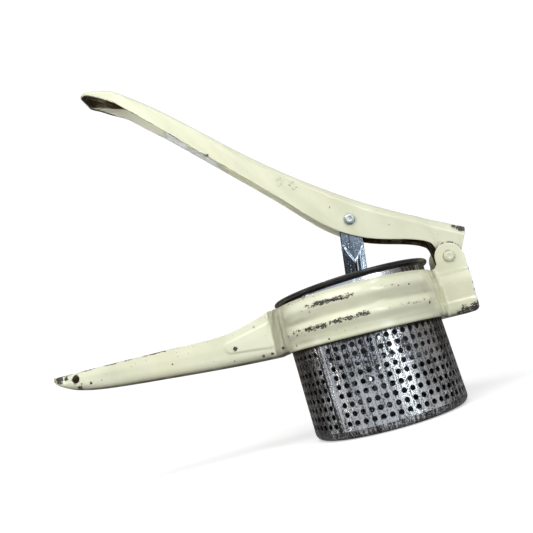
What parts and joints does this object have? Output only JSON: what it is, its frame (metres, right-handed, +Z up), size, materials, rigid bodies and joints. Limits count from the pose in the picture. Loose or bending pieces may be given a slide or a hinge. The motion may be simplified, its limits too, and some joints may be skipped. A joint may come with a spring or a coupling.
{
  "type": "potato ricer",
  "caption": "Hand-held potato ricer: a round perforated basket in a collar with a trough handle, and a hinged lever handle that drives a round press plate into it.",
  "frame": {"origin": "centre of the underside of the basket", "axes": "+Z up along the basket's axis, +X towards the hinge, handles towards -X, lever half open"},
  "size_m": [0.2808, 0.1022, 0.2669],
  "materials": {
    "cream_enamel": "glossy cream enamel, chipped and worn to dark steel along edges and crests",
    "worn_tin": "weathered tin plate, mottled dark grey with bright streaks",
    "rivet_steel": "bare steel, lightly worn",
    "rim_steel": "dark glossy steel"
  },
  "bodies": {
    "frame": {"lower_frame": "cream_enamel", "collar_bridge": "cream_enamel", "pivot_rivet": "cream_enamel", "pivot_spacer": "rivet_steel"},
    "basket": {"basket_wall": "worn_tin", "rim_wire": "rim_steel", "basket_bottom": "worn_tin"},
    "lever": {"upper_handle": "cream_enamel", "plunger_rivet": "rivet_steel", "plunger_spacer": "rivet_steel"},
    "plunger": {"plunger_strap": "worn_tin", "press_plate": "worn_tin", "plate_rivet_1": "rivet_steel", "plate_rivet_2": "rivet_steel"}
  },
  "joints": [
    {"name": "handle_pivot", "type": "hinge", "parent": "frame", "child": "lever", "pos_m": [0.0623, 0, 0.0843], "axis": [0, 1, 0], "range_deg": [-27, 27]},
    {"name": "plunger_swing", "type": "hinge", "parent": "lever", "child": "plunger", "pos_m": [0.0119, 0, 0.1251], "axis": [0, 1, 0], "range_deg": [-15.5, 15.5]},
    {"name": "basket_turn", "type": "hinge", "parent": "frame", "child": "basket", "pos_m": [0, 0, 0.04], "axis": [0, 0, 1], "continuous": true}
  ],
  "couplings": [
    {"joint": "plunger_swing", "follows": "handle_pivot", "ratio": -0.57}
  ]
}
